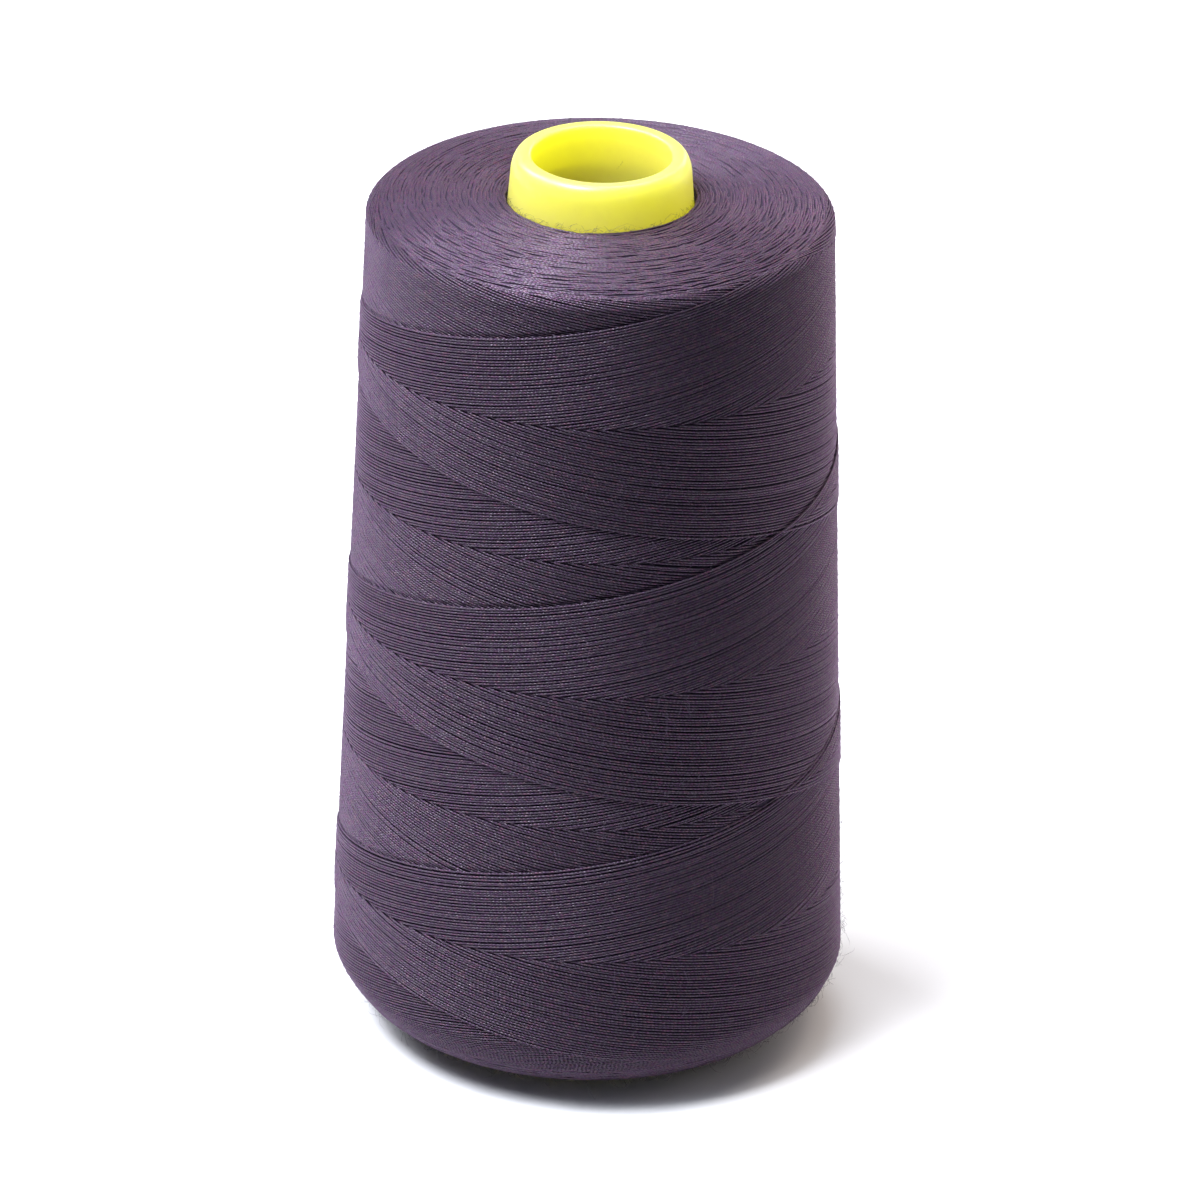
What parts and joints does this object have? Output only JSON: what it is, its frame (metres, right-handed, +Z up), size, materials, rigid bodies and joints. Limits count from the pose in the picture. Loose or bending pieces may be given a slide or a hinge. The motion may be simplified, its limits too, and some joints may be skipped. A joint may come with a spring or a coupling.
{
  "type": "cone of sewing thread on a tapered plastic core",
  "caption": "Cone of dark purple sewing thread, cross-wound on a tapered yellow plastic core that is open right through and stands on its foot ring.",
  "frame": {"origin": "centre of the core's foot ring, on the surface that the cone stands on", "axes": "+Z up along the cone's axis, -Y towards the side that the picture shows"},
  "size_m": [0.0666, 0.0668, 0.1212],
  "materials": {
    "core_plastic": "injection-moulded yellow plastic, softly glossy and a little translucent, with a rounded lip",
    "thread": "two-ply spun polyester sewing thread in dark purple, matt with a fine fuzz"
  },
  "bodies": {
    "root": {"core": "core_plastic", "winding": "thread"}
  },
  "joints": []
}
